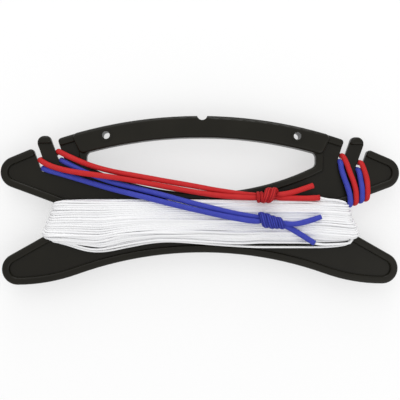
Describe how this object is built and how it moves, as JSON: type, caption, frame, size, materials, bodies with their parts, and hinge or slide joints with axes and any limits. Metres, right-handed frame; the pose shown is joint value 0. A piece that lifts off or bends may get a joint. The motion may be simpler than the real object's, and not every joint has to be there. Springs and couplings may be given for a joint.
{
  "type": "kite line winder",
  "caption": "Flat black moulded winder with a grip bar, finger opening and notched ends, wound with a white line hank and holding red and blue sleeved line loops.",
  "frame": {"origin": "middle of the moulded frame's box, halfway through its thickness", "axes": "+X along the grip bar to the right of the face with the knots, +Y from the legs to the grip bar, +Z out of the face with the knots"},
  "size_m": [0.2204, 0.0928, 0.0264],
  "materials": {
    "frame_plastic": "satin black injection-moulded plastic",
    "flying_line": "smooth white braided line",
    "red_sleeve": "red braided polyester sleeve",
    "blue_sleeve": "blue braided polyester sleeve"
  },
  "bodies": {
    "winder": {"winder_frame": "frame_plastic", "line_hank": "flying_line", "outer_red_loop": "red_sleeve", "outer_red_knot": "red_sleeve", "outer_red_cut_tail": "red_sleeve", "outer_red_line_tail": "red_sleeve", "outer_red_line_lead": "flying_line", "outer_blue_loop": "blue_sleeve", "outer_blue_knot": "blue_sleeve", "outer_blue_cut_tail": "blue_sleeve", "outer_blue_line_tail": "blue_sleeve", "outer_blue_line_lead": "flying_line", "inner_red_loop": "red_sleeve", "inner_red_knot": "red_sleeve", "inner_red_cut_tail": "red_sleeve", "inner_red_line_tail": "red_sleeve", "inner_red_line_lead": "flying_line", "inner_blue_loop": "blue_sleeve", "inner_blue_knot": "blue_sleeve", "inner_blue_cut_tail": "blue_sleeve", "inner_blue_line_tail": "blue_sleeve", "inner_blue_line_lead": "flying_line"}
  },
  "joints": []
}
